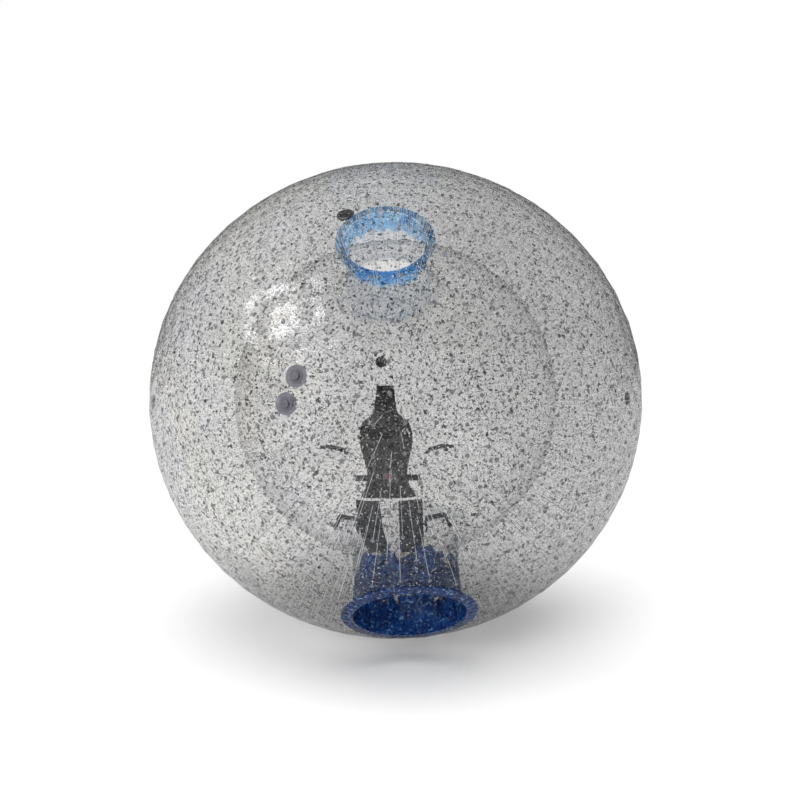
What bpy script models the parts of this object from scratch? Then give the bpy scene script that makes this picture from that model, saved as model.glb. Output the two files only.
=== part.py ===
"""Rider ball ("zorb"): a clear inflatable ball with a second ball tethered inside it.

Two tunnels join the balls and let a rider climb into a webbing harness on the inner wall.
Metres, +Z up.  The ground is z = 0 and the origin is the middle of the flat contact patch.

Places on the ball are given as (radius, polar, azimuth).  Polar is counted in degrees from
the front opening, azimuth in degrees round the tunnels, starting from the underside.
"""
import math

import bmesh
import bpy
from mathutils import Matrix, Vector

# ---- the balls -----------------------------------------------------------------------------
OUTER_RADIUS = 1.500
INNER_RADIUS = 1.000
FILM = 0.0010                 # clear PVC
CENTRE_HEIGHT = 1.400         # ball centre above the ground, less than the radius: it settles
SAG = 0.033                   # share of its height the outer ball loses under its own weight
TUNNEL_TILT = 49.0            # the front opening looks this far below level, in degrees
TUNNEL_RADIUS = 0.310
GAP = 0.0006                  # clearance left at every weld and fit

OUTER_GORES = 8
OUTER_ROWS = 16
INNER_GORES = 6
INNER_ROWS = 12
SIDES_ROUND = 48              # facets round the tunnel axis, a multiple of both gore counts
FLOOR_SHARE = 0.9             # the ground flattens only film this near the outer ball
CUTTER_REACH = 0.010          # how far a cutting tool stands clear of what it cuts

# ---- tunnels and collars -------------------------------------------------------------------
TUNNEL_WALL = 0.0012
TUNNEL_HEM = 0.025            # length of sleeve left standing inside the cabin
TUNNEL_STEPS = 3
COLLAR_WIDTH = 0.055
COLLAR_THICKNESS = 0.0020

# ---- tethers -------------------------------------------------------------------------------
TETHER_AZIMUTHS = (45.0, 135.0, 225.0, 315.0)
TETHER_DISC_RADIUS = 0.012
TETHER_DISC_THICKNESS = 0.0012
TETHER_CORD_RADIUS = 0.0015
TETHER_CLEARANCE = 0.0025     # disc to film, so that the flat disc clears the curved film

# ---- air valves ----------------------------------------------------------------------------
VALVE_PLACES = ((61.7, -154.2), (57.3, -150.4))
PATCH_RADIUS = 0.055
PATCH_HOLE = 0.0185
FILM_HOLE = 0.0190
PATCH_THICKNESS = 0.0010
NECK_OUTER = 0.0165
NECK_INNER = 0.0135
NECK_BOTTOM = -0.0120
NECK_TOP = 0.0100
FLANGE_RADIUS = 0.034
FLANGE_THICKNESS = 0.0020
BODY_OUTER = 0.0130
BODY_INNER = 0.0095
BODY_BOTTOM = -0.0100
BODY_RIM_RADIUS = 0.0185
BODY_RIM_THICKNESS = 0.0040
CAP_THICKNESS = 0.0030
CAP_PLUG_RADIUS = 0.0075
CAP_PLUG_DEPTH = 0.0065
CAP_HINGE_OFFSET = 0.0240     # hinge line to valve axis
CAP_TAB_HALF = 0.0040
CAP_TAB_THICKNESS = 0.0020
CAP_TAB_OVERHANG = 0.0005     # tab past the hinge line
LUG_SETBACK = 0.0015          # lug short of the hinge line
LUG_INSET = (0.0010, 0.0006)  # lug in from the rim's lower and upper face
RIM_LAP = 0.0020              # how far the lug and the tab run into the round part
DIAPHRAGM_RADIUS = 0.0125
DIAPHRAGM_THICKNESS = 0.0010

# ---- carrying rings ------------------------------------------------------------------------
RING_PLACES = ((95.5, 192.9), (90.0, 90.0), (90.0, 270.0), (138.0, 0.0))
RING_HALF_WIDTH = 0.025
RING_DROP = 0.042
RING_ROD = 0.0030
RING_LIFT = 0.0070            # bar centre above the film
RING_PATCH_RADIUS = 0.045
LOOP_HALF_WIDTH = 0.0125
LOOP_WEB = 0.0015
LOOP_FOOT = 0.030
LOOP_HEADROOM = 0.0012        # air over the ring's bar inside its loop
LOOP_SIDE_ROOM = 0.0022       # air on each side of the bar
WELD_DEPTH = 0.0003           # how far welded webbing sinks into its patch
STRAP_SHOULDER = 0.86         # share of a loop's half span where its level top ends
STRAP_KNEE = 0.55             # share of a loop's rise where its side stops being upright

# ---- harness -------------------------------------------------------------------------------
PAD_REACH = (0.990, 0.976)    # outer and inner face, as radii from the ball centre
PAD_ROWS = ((81, 0.200), (87, 0.150), (93, 0.140), (99, 0.160), (105, 0.190), (111, 0.195),
            (116, 0.170), (120, 0.085), (126, 0.070), (132, 0.060))
LEG_REACH = (0.990, 0.980)
LEG_AZIMUTH = 9.0
LEG_ROWS = ((42, 0.060), (49, 0.075), (56, 0.078), (63, 0.078), (71, 0.080), (79, 0.082))
SHOULDER_REACH = (0.9715, 0.9680)
SHOULDER_AZIMUTH = 6.8
SHOULDER_ROWS = ((95, 0.025), (101, 0.025), (107, 0.030), (113, 0.030), (118, 0.025))
SHOULDER_TOP_LEAN = 3.0       # degrees the straps close up towards the neck
WEB_WIDTH = 0.050
WEB_THICKNESS = 0.0035
BELT_POLAR = 90.0
BELT_LIFT = 0.0430            # belt above the inner ball's wall at mid back
BELT_REACH = 0.235            # belt end to mid back
PAD_COLUMNS = 4

# ---- buckle (along the belt, x across the rider) ---------------------------------------------
BUCKLE_LENGTH = 0.066
BUCKLE_WIDTH = 0.062
BUCKLE_THICKNESS = 0.018
BUCKLE_BACK = 0.0015          # buckle behind the belt's back face
SLOT_LIFT = 0.0030            # slot floor over the belt's front face
SLOT_WIDTH = 0.030
SLOT_HEIGHT = 0.0046
SLOT_DEPTH = 0.044
BLADE_WIDTH = 0.027
BLADE_THICKNESS = 0.0030
BLADE_REACH = 0.040           # blade inside the buckle when fastened
BUTTON_SIZE = (0.018, 0.030, 0.0060)
BUTTON_WELL = 0.0006          # clearance round the button
BUTTON_PROUD = 0.0030
BUTTON_SEAT = 0.0070          # depth of the well
SLEEVE_LENGTH = 0.022
SLEEVE_WALL = 0.0040
SLEEVE_START = 0.0040         # sleeve clear of the buckle's end when fastened
SLEEVE_SIDE_ROOM = 0.0020     # air beside the belt inside the sleeve
SLEEVE_ROOM = (0.0010, 0.0015)   # air behind the belt, and solid left over its front
SLEEVE_BACK = 0.0025
SLEEVE_COVER = 0.0010

# ---- hand grips and foot loops ---------------------------------------------------------------
GRIP_PLACES = ((101.5, -23.5), (101.5, 23.5))
GRIP_HALF_SPAN = 0.075
GRIP_RISE = 0.048
GRIP_WEB_WIDTH = 0.025
TUBE_LENGTH = 0.100
TUBE_OUTER = 0.0170
TUBE_INNER = 0.0138
FOOT_PLACES = ((60.0, -21.5), (60.0, 21.5))
FOOT_HALF_SPAN = 0.072
FOOT_RISE = 0.095
FOOT_WEB_WIDTH = 0.060
WALL_CLEARANCE = 0.010        # fittings stand this far inside the inner ball's wall
GRIP_FOOT = 0.035             # length of webbing welded down at each end of a grip
FOOT_FOOT = 0.018             # the same for a foot loop

TILT = math.radians(TUNNEL_TILT)
FRONT = Vector((0.0, -math.cos(TILT), -math.sin(TILT)))
UNDER = Vector((0.0, math.sin(TILT), -math.cos(TILT)))
SIDE = Vector((1.0, 0.0, 0.0))
CENTRE = Vector((0.0, 0.0, CENTRE_HEIGHT))


# ---- shape of the ball -----------------------------------------------------------------------
def settle(point):
    """Move a point of the round ball, counted from its centre, to where it lies at rest."""
    radius = point.length
    share = max(0.0, (radius - INNER_RADIUS) / (OUTER_RADIUS - INNER_RADIUS))
    height = point.z * (1.0 - SAG * share)
    if share > FLOOR_SHARE:
        height = max(height, OUTER_RADIUS - radius - CENTRE_HEIGHT)
    return CENTRE + Vector((point.x, point.y, height))


def ball_point(radius, polar, azimuth):
    """Settled point at a polar angle from the front opening and an azimuth, in radians."""
    round_axis = UNDER * math.cos(azimuth) + SIDE * math.sin(azimuth)
    return settle((FRONT * math.cos(polar) + round_axis * math.sin(polar)) * radius)


def surface_frame(radius, place, inward=False):
    """Matrix on the ball: z off the wall, y away from the front opening, both in world."""
    polar, azimuth = math.radians(place[0]), math.radians(place[1])
    step = 1e-3
    origin = ball_point(radius, polar, azimuth)
    along = ball_point(radius, polar + step, azimuth) - ball_point(radius, polar - step, azimuth)
    along.normalize()
    across = ball_point(radius, polar, azimuth + step) - ball_point(radius, polar, azimuth - step)
    normal = across.cross(along).normalized()
    if normal.dot(origin - CENTRE) < 0.0:
        normal.negate()
    if inward:
        normal.negate()
    right = along.cross(normal)
    return Matrix.Translation(origin) @ Matrix((right, along, normal)).transposed().to_4x4()


# ---- materials -------------------------------------------------------------------------------
def material(name, colour, roughness, metallic=0.0, alpha=1.0):
    found = bpy.data.materials.get(name)
    if found:
        return found
    made = bpy.data.materials.new(name)
    made.use_nodes = True
    shader = made.node_tree.nodes["Principled BSDF"]
    shader.inputs["Base Color"].default_value = (*colour, 1.0)
    shader.inputs["Roughness"].default_value = roughness
    shader.inputs["Metallic"].default_value = metallic
    shader.inputs["Alpha"].default_value = alpha
    return made


def clear_film():
    return material("clear_film", (0.62, 0.65, 0.68), 0.12, alpha=0.35)


def blue_film():
    return material("blue_film", (0.02, 0.13, 0.33), 0.25)


def tether_cord():
    return material("tether_cord", (0.86, 0.87, 0.88), 0.55)


def valve_plastic():
    return material("valve_plastic", (0.22, 0.23, 0.25), 0.40)


def black_webbing():
    return material("black_webbing", (0.015, 0.015, 0.018), 0.75)


def ring_steel():
    return material("ring_steel", (0.55, 0.56, 0.58), 0.28, metallic=1.0)


def grip_rubber():
    return material("grip_rubber", (0.03, 0.03, 0.035), 0.65)


def red_button():
    return material("red_button", (0.45, 0.03, 0.02), 0.40)


# ---- solids ----------------------------------------------------------------------------------
def add_object(name, vertices, faces, skin, smooth=True, frame=None):
    mesh = bpy.data.meshes.new(name)
    mesh.from_pydata([tuple(vertex) for vertex in vertices], [], faces)
    shape = bmesh.new()
    shape.from_mesh(mesh)
    bmesh.ops.recalc_face_normals(shape, faces=shape.faces)
    if shape.calc_volume(signed=True) < 0.0:
        bmesh.ops.reverse_faces(shape, faces=shape.faces)
    shape.to_mesh(mesh)
    shape.free()
    mesh.materials.append(skin)
    for polygon in mesh.polygons:
        polygon.use_smooth = smooth
    made = bpy.data.objects.new(name, mesh)
    bpy.context.scene.collection.objects.link(made)
    if frame is not None:
        made.matrix_world = frame
    return made


def slab(name, outside, inside, skin, frame=None):
    """Closed solid between two grids of points that have the same rows and columns.

    Both grids are split along the same diagonals, so a thin wall keeps its thickness where it bends.
    """
    rows, columns = len(outside), len(outside[0])
    vertices = [point for row in outside for point in row]
    lower = len(vertices)
    vertices += [point for row in inside for point in row]
    faces = []
    for row in range(rows - 1):
        for column in range(columns - 1):
            corner = row * columns + column
            opposite = corner + columns + 1
            for triangle in ((corner, corner + 1, opposite), (corner, opposite, corner + columns)):
                faces.append(triangle)
                faces.append(tuple(index + lower for index in reversed(triangle)))
    border = list(range(columns))
    border += [row * columns + columns - 1 for row in range(1, rows)]
    border += [(rows - 1) * columns + column for column in range(columns - 2, -1, -1)]
    border += [row * columns for row in range(rows - 2, 0, -1)]
    for here, there in zip(border, border[1:] + border[:1]):
        faces.append((there, here, here + lower, there + lower))
    return add_object(name, vertices, faces, skin, frame=frame)


def round_z(radius, height, turn):
    return Vector((radius * math.cos(turn), radius * math.sin(turn), height))


def turned(name, profile, skin, sides=24, frame=None, place=round_z):
    """Turn a closed (radius, height) outline round an axis; radius 0 closes on the axis."""
    vertices = []
    rings = []
    for radius, height in profile:
        if radius == 0.0:
            rings.append([len(vertices)] * sides)
            vertices.append(place(0.0, height, 0.0))
            continue
        rings.append(list(range(len(vertices), len(vertices) + sides)))
        vertices += [place(radius, height, 2.0 * math.pi * side / sides) for side in range(sides)]
    faces = []
    for ring, following in zip(rings, rings[1:] + rings[:1]):
        for side in range(sides):
            other = (side + 1) % sides
            corners = []
            for index in (ring[side], ring[other], following[other], following[side]):
                if index not in corners:
                    corners.append(index)
            if len(corners) > 2:
                faces.append(tuple(corners))
    return add_object(name, vertices, faces, skin, frame=frame)


def washer(name, inner, outer, low, high, skin, frame=None):
    """Flat ring between two heights; an inner radius of 0 makes a full disc."""
    outline = ((inner, low), (outer, low), (outer, high), (inner, high))
    return turned(name, outline, skin, frame=frame)


def extruded(name, outline, half_width, skin, frame=None):
    """Closed (x, z) outline drawn out along y to both sides."""
    count = len(outline)
    vertices = [Vector((x, -half_width, z)) for x, z in outline]
    vertices += [Vector((x, half_width, z)) for x, z in outline]
    faces = [tuple(range(count)), tuple(range(2 * count - 1, count - 1, -1))]
    for index in range(count):
        following = (index + 1) % count
        faces.append((index, following, following + count, index + count))
    return add_object(name, vertices, faces, skin, smooth=False, frame=frame)


def block(name, low, high, skin, frame=None):
    outline = ((low[0], low[2]), (high[0], low[2]), (high[0], high[2]), (low[0], high[2]))
    made = extruded(name, outline, (high[1] - low[1]) / 2.0, skin, frame=frame)
    shift = Matrix.Translation((0.0, (high[1] + low[1]) / 2.0, 0.0))
    made.data.transform(shift)
    return made


def combine(target, tool, operation):
    """Join a tool to the target or cut it away, and remove the tool."""
    step = target.modifiers.new(operation.lower(), "BOOLEAN")
    step.operation = operation
    step.solver = "EXACT"
    step.object = tool
    bpy.context.view_layer.update()
    graph = bpy.context.evaluated_depsgraph_get()
    result = bpy.data.meshes.new_from_object(target.evaluated_get(graph))
    target.modifiers.clear()
    target.data = result
    bpy.data.objects.remove(tool, do_unlink=True)
    return target


# ---- film ------------------------------------------------------------------------------------
def gore(name, number, count, rows, radius):
    """One long panel of clear film, from the front opening to the back one."""
    mouth = math.asin((TUNNEL_RADIUS + GAP) / radius)
    middle = 2.0 * math.pi * number / count
    columns = SIDES_ROUND // count
    skins = []
    for reach in (radius, radius - FILM):
        grid = []
        for row in range(rows + 1):
            polar = mouth + (math.pi - 2.0 * mouth) * row / rows
            half = math.pi / count - GAP / 2.0 / (radius * math.sin(polar))
            turns = [middle + half * (2.0 * column / columns - 1.0)
                     for column in range(columns + 1)]
            grid.append([ball_point(reach, polar, turn) for turn in turns])
        skins.append(grid)
    return slab(name, skins[0], skins[1], clear_film())


def balls():
    """Both balls of film; returns the outer gores."""
    outer = [gore(f"outer_gore_{number + 1}", number, OUTER_GORES, OUTER_ROWS, OUTER_RADIUS)
             for number in range(OUTER_GORES)]
    for number in range(INNER_GORES):
        gore(f"inner_gore_{number + 1}", number, INNER_GORES, INNER_ROWS, INNER_RADIUS)
    return outer


def tunnel_place(end):
    """Map an outline round the tunnel axis onto the settled ball; end is 1 front, -1 back."""
    def place(radius, height, turn):
        round_axis = UNDER * math.cos(turn) + SIDE * math.sin(turn)
        return settle(FRONT * (end * height) + round_axis * radius)
    return place


def tunnel(name, end):
    """Blue sleeve from the outer ball's opening into the inner ball."""
    outside = math.sqrt(OUTER_RADIUS ** 2 - TUNNEL_RADIUS ** 2)
    weld = math.sqrt(INNER_RADIUS ** 2 - TUNNEL_RADIUS ** 2)
    bore = TUNNEL_RADIUS - TUNNEL_WALL
    heights = [weld - TUNNEL_HEM]
    heights += [weld + (outside - weld) * step / TUNNEL_STEPS for step in range(TUNNEL_STEPS + 1)]
    outline = [(TUNNEL_RADIUS, height) for height in heights]
    outline += [(bore, height) for height in reversed(heights)]
    return turned(name, outline, blue_film(), sides=SIDES_ROUND, place=tunnel_place(end))


def collar(name, end, ball_radius):
    """Blue ring of doubled film round an opening, lying on the outside of the ball."""
    rim = TUNNEL_RADIUS + GAP
    outline = []
    for reach in (ball_radius + GAP, ball_radius + GAP + COLLAR_THICKNESS):
        band = [rim, rim + COLLAR_WIDTH / 2.0, rim + COLLAR_WIDTH]
        if outline:
            band.reverse()
        outline += [(radius, math.sqrt(reach ** 2 - radius ** 2)) for radius in band]
    return turned(name, outline, blue_film(), sides=SIDES_ROUND, place=tunnel_place(end))


def tether(name, azimuth):
    """Cord with a welded disc at each end, drawn taut between the two balls."""
    equator = math.radians(90.0)
    turn = math.radians(azimuth)
    foot = ball_point(INNER_RADIUS + TETHER_CLEARANCE, equator, turn)
    top = ball_point(OUTER_RADIUS - FILM - TETHER_CLEARANCE, equator, turn)
    line = top - foot
    length = line.length
    outline = (
        (0.0, 0.0),
        (TETHER_DISC_RADIUS, 0.0),
        (TETHER_DISC_RADIUS, TETHER_DISC_THICKNESS),
        (TETHER_CORD_RADIUS, TETHER_DISC_THICKNESS),
        (TETHER_CORD_RADIUS, length - TETHER_DISC_THICKNESS),
        (TETHER_DISC_RADIUS, length - TETHER_DISC_THICKNESS),
        (TETHER_DISC_RADIUS, length),
        (0.0, length),
    )
    aim = line.to_track_quat("Z", "X").to_matrix().to_4x4()
    return turned(name, outline, tether_cord(), sides=10, frame=Matrix.Translation(foot) @ aim)


# ---- air valves ------------------------------------------------------------------------------
def valve(prefix, place, gore_object):
    """Screw-in one-way valve with a flip cap, through a hole in one gore."""
    frame = surface_frame(OUTER_RADIUS, place)
    hole = washer("hole", 0.0, FILM_HOLE, -CUTTER_REACH, CUTTER_REACH, clear_film(), frame)
    combine(gore_object, hole, "DIFFERENCE")
    patch_top = GAP + PATCH_THICKNESS
    washer(f"{prefix}_patch", PATCH_HOLE, PATCH_RADIUS, GAP, patch_top, valve_plastic(), frame)
    valve_base(f"{prefix}_base", frame)
    valve_body(f"{prefix}_body", frame)
    under = BODY_BOTTOM - GAP
    washer(f"{prefix}_diaphragm", 0.0, DIAPHRAGM_RADIUS, under - DIAPHRAGM_THICKNESS, under,
           grip_rubber(), frame)
    valve_cap(f"{prefix}_cap", frame)


def valve_base(name, frame):
    low = 2.0 * GAP + PATCH_THICKNESS
    high = low + FLANGE_THICKNESS
    outline = ((NECK_INNER, NECK_BOTTOM), (NECK_OUTER, NECK_BOTTOM), (NECK_OUTER, low),
               (FLANGE_RADIUS, low), (FLANGE_RADIUS, high), (NECK_OUTER, high),
               (NECK_OUTER, NECK_TOP), (NECK_INNER, NECK_TOP))
    return turned(name, outline, valve_plastic(), frame=frame)


def valve_body(name, frame):
    """Turns in the base; the lug on its rim carries the cap's hinge."""
    low = NECK_TOP + GAP
    high = low + BODY_RIM_THICKNESS
    outline = ((BODY_INNER, BODY_BOTTOM), (BODY_OUTER, BODY_BOTTOM), (BODY_OUTER, low),
               (BODY_RIM_RADIUS, low), (BODY_RIM_RADIUS, high), (BODY_INNER, high))
    body = turned(name, outline, valve_plastic(), frame=frame)
    lug = block("lug", (LUG_SETBACK - CAP_HINGE_OFFSET, -CAP_TAB_HALF, low + LUG_INSET[0]),
                (RIM_LAP - BODY_RIM_RADIUS, CAP_TAB_HALF, high - LUG_INSET[1]),
                valve_plastic(), frame=frame)
    return combine(body, lug, "UNION")


def valve_cap(name, frame):
    """Plug cap; its origin is on the hinge line beside the rim."""
    low = NECK_TOP + GAP + BODY_RIM_THICKNESS + GAP
    hinge = frame @ Matrix.Translation((-CAP_HINGE_OFFSET, 0.0, low))
    outline = ((0.0, -CAP_PLUG_DEPTH), (CAP_PLUG_RADIUS, -CAP_PLUG_DEPTH), (CAP_PLUG_RADIUS, 0.0),
               (BODY_RIM_RADIUS, 0.0), (BODY_RIM_RADIUS, CAP_THICKNESS), (0.0, CAP_THICKNESS))
    cap = turned(name, outline, valve_plastic())
    tab = block("tab", (-CAP_HINGE_OFFSET - CAP_TAB_OVERHANG, -CAP_TAB_HALF, 0.0),
                (RIM_LAP - BODY_RIM_RADIUS, CAP_TAB_HALF, CAP_TAB_THICKNESS), valve_plastic())
    combine(cap, tab, "UNION")
    cap.data.transform(Matrix.Translation((CAP_HINGE_OFFSET, 0.0, 0.0)))
    cap.matrix_world = hinge
    return cap


# ---- webbing loops and rings ---------------------------------------------------------------------
def loop_outline(half_span, foot, rise, web, wall):
    """Outline of a band welded down at both ends and arched in the middle; wall(x) is its seat."""
    line = [(half_span + foot, 0.0), (half_span + web, 0.0), (half_span, rise * STRAP_KNEE),
            (half_span * STRAP_SHOULDER, rise)]
    left = [(-x, z) for x, z in line]
    path = left + line[::-1]
    seat = [(x, z + wall(x)) for x, z in path]
    return thicken(seat, web)


def thicken(path, web):
    """Closed outline of a strip of even thickness whose lower face follows a path of (x, z)."""
    upper = []
    for index, (x, z) in enumerate(path):
        before = Vector(path[max(index - 1, 0)])
        after = Vector(path[min(index + 1, len(path) - 1)])
        here = Vector((x, z))
        first = (here - before).normalized() if index else (after - here).normalized()
        second = (after - here).normalized() if index < len(path) - 1 else first
        normal = Vector((-first.y - second.y, first.x + second.x)).normalized()
        spread = web / max(0.4, normal.dot(Vector((-first.y, first.x))))
        upper.append(tuple(here + normal * spread))
    return list(path) + upper[::-1]


def ring_anchor(prefix, place):
    """Round patch with a webbing loop, and the D-shaped ring that hangs from it."""
    frame = surface_frame(OUTER_RADIUS, place)
    frame = frame @ Matrix.Rotation(hang_turn(frame), 4, "Z")
    top = GAP + PATCH_THICKNESS
    patch = washer(f"{prefix}_patch", 0.0, RING_PATCH_RADIUS, GAP, top, black_webbing(), frame)
    rise = RING_LIFT + RING_ROD + LOOP_HEADROOM - top
    outline = loop_outline(RING_ROD + LOOP_SIDE_ROOM, LOOP_FOOT, rise, LOOP_WEB,
                           lambda x: top - WELD_DEPTH)
    across = frame @ Matrix.Rotation(math.pi / 2.0, 4, "Z")
    web = extruded("web", outline, LOOP_HALF_WIDTH, black_webbing(), frame=across)
    combine(patch, web, "UNION")
    ring(f"{prefix}_ring", frame @ Matrix.Translation((0.0, 0.0, RING_LIFT)))


def hang_turn(frame):
    """Angle about the frame's z that turns its -y to hang straight down."""
    down = frame.to_3x3().transposed() @ Vector((0.0, 0.0, -1.0))
    return math.atan2(down.x, -down.y)


def ring(name, frame):
    """Bent rod: a straight bar on the hinge line and a round bow hanging to -y."""
    path = [Vector((RING_HALF_WIDTH, 0.0, 0.0)), Vector((-RING_HALF_WIDTH, 0.0, 0.0))]
    bends = 8
    bow = RING_DROP - RING_HALF_WIDTH
    for bend in range(bends + 1):
        turn = math.pi + math.pi * bend / bends
        path.append(Vector((RING_HALF_WIDTH * math.cos(turn), RING_HALF_WIDTH * math.sin(turn) - bow, 0.0)))
    return rod(name, path, RING_ROD, ring_steel(), frame)


def rod(name, path, radius, skin, frame, sides=8):
    """Closed loop of round rod through points that lie in the frame's z = 0 plane."""
    up = Vector((0.0, 0.0, 1.0))
    vertices = []
    for index, here in enumerate(path):
        before = (here - path[index - 1]).normalized()
        after = (path[(index + 1) % len(path)] - here).normalized()
        outward = (before + after).normalized().cross(up)
        spread = radius / max(0.5, outward.dot(before.cross(up)))
        for side in range(sides):
            turn = 2.0 * math.pi * side / sides
            aside = outward * (spread * math.cos(turn))
            vertices.append(here + aside + up * (radius * math.sin(turn)))
    faces = []
    for index in range(len(path)):
        start, following = index * sides, (index + 1) % len(path) * sides
        for side in range(sides):
            other = (side + 1) % sides
            faces.append((start + side, start + other, following + other, following + side))
    return add_object(name, vertices, faces, skin, frame=frame)


# ---- harness -----------------------------------------------------------------------------------
def padded(name, rows, azimuth, reach, skin, lean=0.0):
    """Flat piece lying on the wall, symmetric about one azimuth; rows are (polar, half width)."""
    skins = []
    for radius in reach:
        grid = []
        for index, (polar, half) in enumerate(rows):
            turn = math.radians(polar)
            shift = math.copysign(lean, azimuth) * index / (len(rows) - 1)
            middle = math.radians(azimuth - shift)
            spread = half / (radius * math.sin(turn))
            grid.append([ball_point(radius, turn, middle + spread * (2.0 * column / PAD_COLUMNS - 1.0))
                         for column in range(PAD_COLUMNS + 1)])
        skins.append(grid)
    return slab(name, skins[0], skins[1], skin)


def harness():
    padded("back_pad", PAD_ROWS, 0.0, PAD_REACH, black_webbing())
    for side, sign in (("left", -1.0), ("right", 1.0)):
        padded(f"shoulder_strap_{side}", SHOULDER_ROWS, sign * SHOULDER_AZIMUTH, SHOULDER_REACH,
               black_webbing(), SHOULDER_TOP_LEAN)
        padded(f"leg_pad_{side}", LEG_ROWS, sign * LEG_AZIMUTH, LEG_REACH, black_webbing())
    buckle_set()


def buckle_set():
    """Belt across the rider's waist: buckle on the left half, tongue on the right half."""
    frame = surface_frame(INNER_RADIUS, (BELT_POLAR, 0.0), inward=True)
    belt = frame @ Matrix.Translation((0.0, 0.0, BELT_LIFT))
    half_web = WEB_WIDTH / 2.0
    mid = BUCKLE_LENGTH / 2.0
    block("waist_belt_left", (-BELT_REACH, -half_web, 0.0), (-mid - GAP, half_web, WEB_THICKNESS),
          black_webbing(), frame=belt)
    block("waist_belt_right", (mid + GAP, -half_web, 0.0), (BELT_REACH, half_web, WEB_THICKNESS),
          black_webbing(), frame=belt)
    slot_floor = WEB_THICKNESS + SLOT_LIFT
    buckle(belt, slot_floor)
    tongue(belt, slot_floor)
    button(belt)


def buckle(belt, slot_floor):
    mid = BUCKLE_LENGTH / 2.0
    half = BUCKLE_WIDTH / 2.0
    body = block("buckle", (-mid, -half, -BUCKLE_BACK), (mid, half, BUCKLE_THICKNESS),
                 valve_plastic(), frame=belt)
    slot = block("slot", (mid - SLOT_DEPTH, -SLOT_WIDTH / 2.0, slot_floor),
                 (mid + CUTTER_REACH, SLOT_WIDTH / 2.0, slot_floor + SLOT_HEIGHT),
                 valve_plastic(), frame=belt)
    combine(body, slot, "DIFFERENCE")
    long = BUTTON_SIZE[0] / 2.0 + BUTTON_WELL
    wide = BUTTON_SIZE[1] / 2.0 + BUTTON_WELL
    well = block("well", (-long, -wide, BUCKLE_THICKNESS - BUTTON_SEAT),
                 (long, wide, BUCKLE_THICKNESS + CUTTER_REACH), valve_plastic(), frame=belt)
    combine(body, well, "DIFFERENCE")


def tongue(belt, slot_floor):
    """Flat blade on a sleeve that runs along the right half of the belt."""
    mid = BUCKLE_LENGTH / 2.0
    low = slot_floor + (SLOT_HEIGHT - BLADE_THICKNESS) / 2.0
    high = low + BLADE_THICKNESS
    start = mid + SLEEVE_START
    end = start + SLEEVE_LENGTH
    inner = WEB_WIDTH / 2.0 + SLEEVE_SIDE_ROOM
    behind, over = SLEEVE_ROOM
    blade = block("tongue", (mid - BLADE_REACH, -BLADE_WIDTH / 2.0, low),
                  (end, BLADE_WIDTH / 2.0, high), ring_steel())
    shell = block("sleeve", (start, -inner - SLEEVE_WALL, -behind - SLEEVE_BACK),
                  (end, inner + SLEEVE_WALL, high + SLEEVE_COVER), ring_steel())
    bore = block("bore", (start - CUTTER_REACH, -inner, -behind),
                 (end + CUTTER_REACH, inner, slot_floor - over), ring_steel())
    combine(shell, bore, "DIFFERENCE")
    combine(blade, shell, "UNION")
    blade.matrix_world = belt


def button(belt):
    long, wide, tall = BUTTON_SIZE
    high = BUCKLE_THICKNESS + BUTTON_PROUD
    block("release_button", (-long / 2.0, -wide / 2.0, high - tall), (long / 2.0, wide / 2.0, high),
          red_button(), frame=belt)


# ---- hand grips and foot loops -------------------------------------------------------------------
def inner_wall(x):
    """Height of the hollow wall over its tangent plane, x to the side."""
    return WALL_CLEARANCE + INNER_RADIUS - math.sqrt(INNER_RADIUS ** 2 - x ** 2)


def hand_grip(prefix, place):
    """Webbing loop with a rubber tube that turns round its straight middle."""
    frame = surface_frame(INNER_RADIUS, place, inward=True)
    outline = loop_outline(GRIP_HALF_SPAN, GRIP_FOOT, GRIP_RISE, WEB_THICKNESS, inner_wall)
    extruded(f"{prefix}_strap", outline, GRIP_WEB_WIDTH / 2.0, black_webbing(), frame=frame)
    middle = GRIP_RISE + WEB_THICKNESS / 2.0 + inner_wall(GRIP_HALF_SPAN * STRAP_SHOULDER)
    half = TUBE_LENGTH / 2.0
    tube = ((TUBE_INNER, -half), (TUBE_OUTER, -half), (TUBE_OUTER, half), (TUBE_INNER, half))
    along = frame @ Matrix.Translation((0.0, 0.0, middle)) @ Matrix.Rotation(math.pi / 2.0, 4, "Y")
    turned(f"{prefix}_tube", tube, grip_rubber(), frame=along)


def foot_loop(name, place):
    frame = surface_frame(INNER_RADIUS, place, inward=True)
    outline = loop_outline(FOOT_HALF_SPAN, FOOT_FOOT, FOOT_RISE, WEB_THICKNESS, inner_wall)
    extruded(name, outline, FOOT_WEB_WIDTH / 2.0, black_webbing(), frame=frame)


# ---- the whole ball --------------------------------------------------------------------------
def clear_scene():
    for old in list(bpy.data.objects):
        bpy.data.objects.remove(old, do_unlink=True)


def gore_under(place, gores):
    """The outer gore whose middle is nearest to a place's azimuth."""
    width = 360.0 / len(gores)
    return gores[round(place[1] / width) % len(gores)]


def build():
    clear_scene()
    outer = balls()
    for name, end in (("front", 1.0), ("back", -1.0)):
        tunnel(f"{name}_tunnel", end)
        collar(f"{name}_outer_collar", end, OUTER_RADIUS)
        collar(f"{name}_inner_collar", end, INNER_RADIUS)
    for number, azimuth in enumerate(TETHER_AZIMUTHS, 1):
        tether(f"tether_{number}", azimuth)
    for number, place in enumerate(VALVE_PLACES, 1):
        valve(f"valve_{number}", place, gore_under(place, outer))
    for number, place in enumerate(RING_PLACES, 1):
        ring_anchor(f"anchor_{number}", place)
    harness()
    for side, place in zip(("left", "right"), GRIP_PLACES):
        hand_grip(f"hand_grip_{side}", place)
    for side, place in zip(("left", "right"), FOOT_PLACES):
        foot_loop(f"foot_loop_{side}", place)


build()
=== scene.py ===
"""Looks of the rider ball: clear wrinkled film, tethers, blue tunnels, valves, rings and harness."""
import math

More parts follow.
